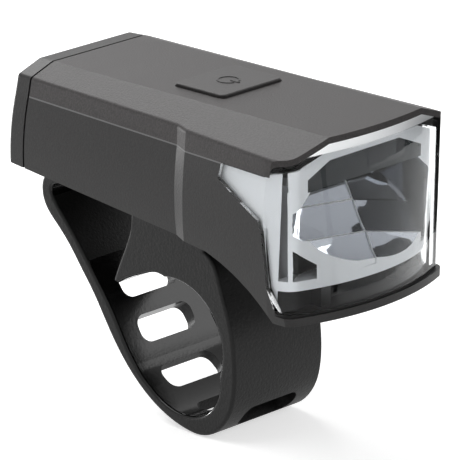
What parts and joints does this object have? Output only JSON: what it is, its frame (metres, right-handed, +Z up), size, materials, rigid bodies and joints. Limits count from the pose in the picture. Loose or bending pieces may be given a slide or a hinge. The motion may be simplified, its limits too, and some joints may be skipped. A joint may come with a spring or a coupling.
{
  "type": "bike headlight",
  "caption": "Battery bike headlight with clear wrap-round lens, power button and charging flap, on a stretch rubber handlebar strap.",
  "frame": {"origin": "centre of the handlebar bore, midway along the strap's width", "axes": "+X along the handlebar, -Y the way the beam shines, +Z up through the case"},
  "size_m": [0.057, 0.0995, 0.0855],
  "materials": {
    "cover_plastic": "fine moulded texture, dark warm grey",
    "housing_plastic": "fine moulded texture, near black",
    "gasket_rubber": "matte black",
    "seam_rubber": "matte grey",
    "clear_lens": "clear polycarbonate",
    "mirror_film": "metallised",
    "shade_plastic": "smooth dark grey",
    "lamp_board": "white solder mask on metal core",
    "lamp_resin": "phosphor resin",
    "sink_metal": "plain",
    "screw_steel": "zinc plated",
    "board_resin": "green solder mask",
    "chip_resin": "black epoxy",
    "button_rubber": "matte dark grey",
    "cell_sleeve": "shrink sleeve",
    "foam": "closed-cell foam",
    "contact_metal": "nickel strip",
    "socket_steel": "stamped shell",
    "flap_rubber": "matte black",
    "plate_plastic": "plain black",
    "strap_rubber": "matte black, smooth inside"
  },
  "bodies": {
    "lamp": {"top_cover": "cover_plastic", "lower_housing": "housing_plastic", "rear_cap": "housing_plastic", "rear_gasket": "gasket_rubber", "case_gasket": "seam_rubber", "front_lens": "clear_lens", "lens_gasket": "gasket_rubber", "reflector": "mirror_film", "led_shade": "shade_plastic", "led_board": "lamp_board", "led_emitter": "lamp_resin", "heat_sink": "sink_metal", "optic_screws": "screw_steel", "main_board": "board_resin", "board_screws": "screw_steel", "controller_chip": "chip_resin", "charge_coil": "chip_resin", "indicator_led": "lamp_resin", "tact_switch": "chip_resin", "button_seal": "gasket_rubber", "battery_cell": "cell_sleeve", "battery_foam": "foam", "battery_leads": "contact_metal", "charge_board": "board_resin", "usb_socket": "socket_steel", "usb_tongue": "chip_resin", "flap_anchor": "flap_rubber", "case_screws": "screw_steel", "cap_screws": "screw_steel", "mount_plate": "plate_plastic", "plate_screws": "screw_steel", "strap": "strap_rubber"},
    "power_button": {"power_button": "button_rubber"},
    "switch_plunger": {"switch_plunger": "shade_plastic"},
    "usb_flap": {"usb_flap": "flap_rubber"}
  },
  "joints": [
    {"name": "button_press", "type": "slide", "parent": "lamp", "child": "power_button", "axis": [0, 0, -1], "range_m": [0, 0.0005], "stiffness_N_per_m": 3000},
    {"name": "plunger_press", "type": "slide", "parent": "lamp", "child": "switch_plunger", "axis": [0, 0, -1], "range_m": [0, 0.0005]},
    {"name": "flap_turn", "type": "hinge", "parent": "lamp", "child": "usb_flap", "pos_m": [0, 0.0453, 0.0458], "axis": [-1, 0, 0], "range_deg": [0, 150]}
  ],
  "couplings": [
    {"joint": "plunger_press", "follows": "button_press", "ratio": 1}
  ]
}
